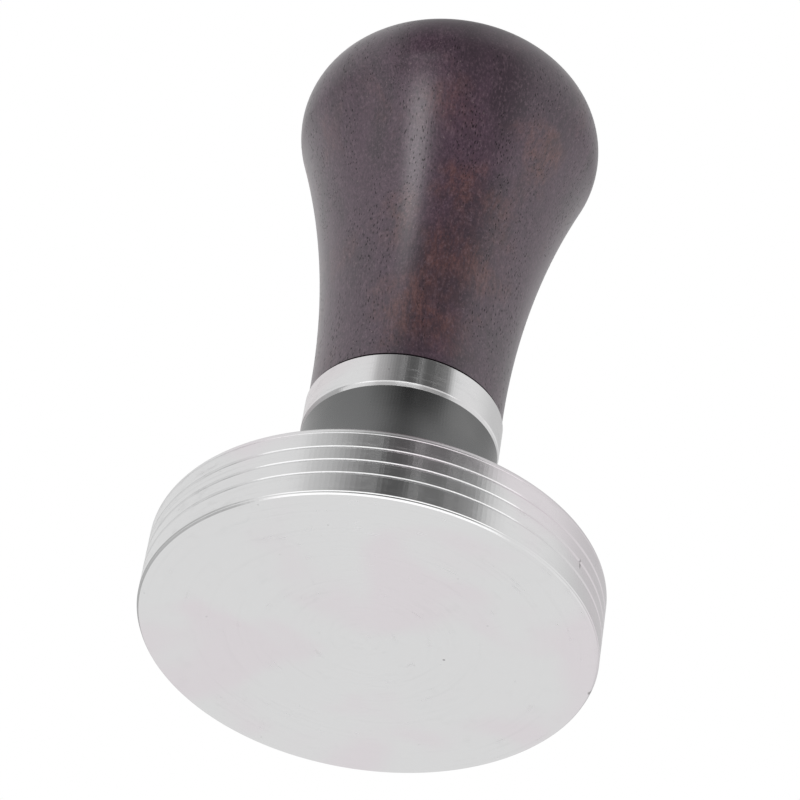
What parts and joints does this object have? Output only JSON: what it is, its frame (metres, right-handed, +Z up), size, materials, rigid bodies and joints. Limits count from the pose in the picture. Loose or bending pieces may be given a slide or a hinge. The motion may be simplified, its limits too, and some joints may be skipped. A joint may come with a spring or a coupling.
{
  "type": "espresso tamper",
  "caption": "Espresso tamper: grooved aluminium disc, dark bell-shaped neck, bright ferrule ring and a pear-shaped wooden handle screwed onto a centre stud.",
  "frame": {"origin": "centre of the flat tamping face, which is the bottom of the tool", "axes": "+Z up the axis of the tool, from the tamping face to the top of the handle; X and Y are any two directions across, because the tool is turned"},
  "size_m": [0.058, 0.058, 0.098],
  "materials": {
    "bright_aluminium": "fine turned, bright",
    "dark_satin_aluminium": "dark satin, bead-blasted",
    "zinc_plated_steel": "bright zinc plate",
    "insert_brass": "as machined",
    "stained_hardwood": "dark stain under satin lacquer"
  },
  "bodies": {
    "base": {"tamping_base": "bright_aluminium", "neck_collar": "dark_satin_aluminium", "centre_stud": "zinc_plated_steel", "plain_washer": "zinc_plated_steel", "spring_washer": "zinc_plated_steel", "hex_nut": "zinc_plated_steel"},
    "ferrule": {"ferrule_ring": "bright_aluminium"},
    "handle": {"handle_grip": "stained_hardwood", "threaded_insert": "insert_brass"}
  },
  "joints": [
    {"name": "ferrule_lift", "type": "slide", "parent": "base", "child": "ferrule", "axis": [0, 0, 1], "range_m": [0, 0.0125]},
    {"name": "handle_turn", "type": "hinge", "parent": "ferrule", "child": "handle", "pos_m": [0, 0, 0.0357], "axis": [0, 0, 1], "range_deg": [0, 3600]}
  ],
  "couplings": [
    {"joint": "ferrule_lift", "follows": "handle_turn", "m_per_rad": 0.00019894}
  ]
}
